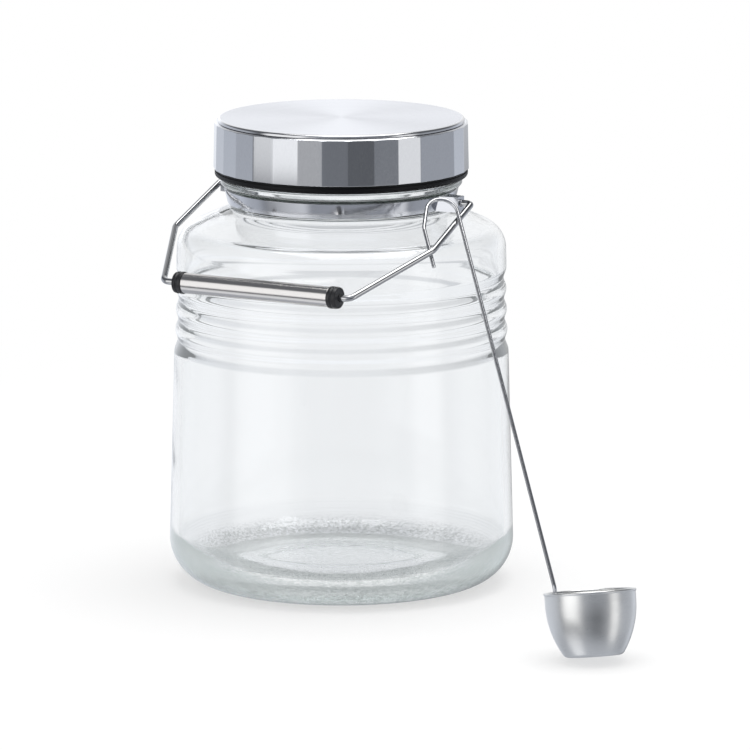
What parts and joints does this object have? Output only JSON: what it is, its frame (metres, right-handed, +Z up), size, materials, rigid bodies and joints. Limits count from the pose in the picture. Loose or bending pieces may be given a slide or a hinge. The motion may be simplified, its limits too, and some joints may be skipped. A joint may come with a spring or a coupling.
{
  "type": "lidded glass canister",
  "caption": "Clear ribbed glass canister with a faceted steel screw lid, neck strap, swinging wire bail with a roller grip, and a hooked ladle.",
  "frame": {"origin": "centre of the glass base, on the table", "axes": "+Z up along the jar's axis, +X along the bail's hinge axis to the right ear, the bail hangs to the front on -Y"},
  "size_m": [0.3043, 0.2115, 0.234],
  "materials": {
    "glass": "clear pressed glass, faint green tint, stippled round the heel",
    "strap_steel": "thin bright rolled strip",
    "wire_steel": "drawn bright wire",
    "tube_steel": "polished rolled tube",
    "black_plastic": "black moulded plastic, satin",
    "lid_steel": "pressed facets, bright satin",
    "plate_steel": "circular brushed face, rolled edge",
    "white_plastic": "translucent white moulded plastic",
    "cup_steel": "spun stainless cup, satin with a bright lip",
    "ladle_wire_steel": "thin stainless wire"
  },
  "bodies": {
    "jar": {"glass_jar": "glass", "neck_band": "strap_steel"},
    "bail": {"bail_wire": "wire_steel"},
    "grip": {"grip_tube": "tube_steel", "left_grip_cap": "black_plastic", "right_grip_cap": "black_plastic"},
    "stopper": {"inner_stopper": "white_plastic"},
    "lid": {"lid_shell": "lid_steel", "lid_top_plate": "plate_steel", "inner_cap": "black_plastic"},
    "ladle": {"ladle_cup": "cup_steel", "ladle_handle": "ladle_wire_steel"}
  },
  "joints": [
    {"name": "bail_swing", "type": "hinge", "parent": "jar", "child": "bail", "pos_m": [0, 0, 0.1962], "axis": [-1, 0, 0], "range_deg": [0, 224.6]},
    {"name": "grip_spin", "type": "hinge", "parent": "bail", "child": "grip", "pos_m": [0.0029, -0.08769, 0.16023], "axis": [1, 0, 0], "continuous": true},
    {"name": "lid_lift", "type": "slide", "parent": "jar", "child": "stopper", "axis": [0, 0, 1], "range_m": [0, 0.0241]},
    {"name": "lid_turn", "type": "hinge", "parent": "stopper", "child": "lid", "pos_m": [0, 0, 0.2], "axis": [0, 0, 1], "range_deg": [0, 1080]},
    {"name": "ladle_lift", "type": "slide", "parent": "jar", "child": "ladle", "axis": [0.7724, -0.2188, 0.5962], "range_m": [0, 0.4]}
  ],
  "couplings": [
    {"joint": "lid_lift", "follows": "lid_turn", "m_per_rad": 0.0012732},
    {"joint": "ladle_lift", "follows": "bail_swing", "m_per_rad": 0.1}
  ]
}
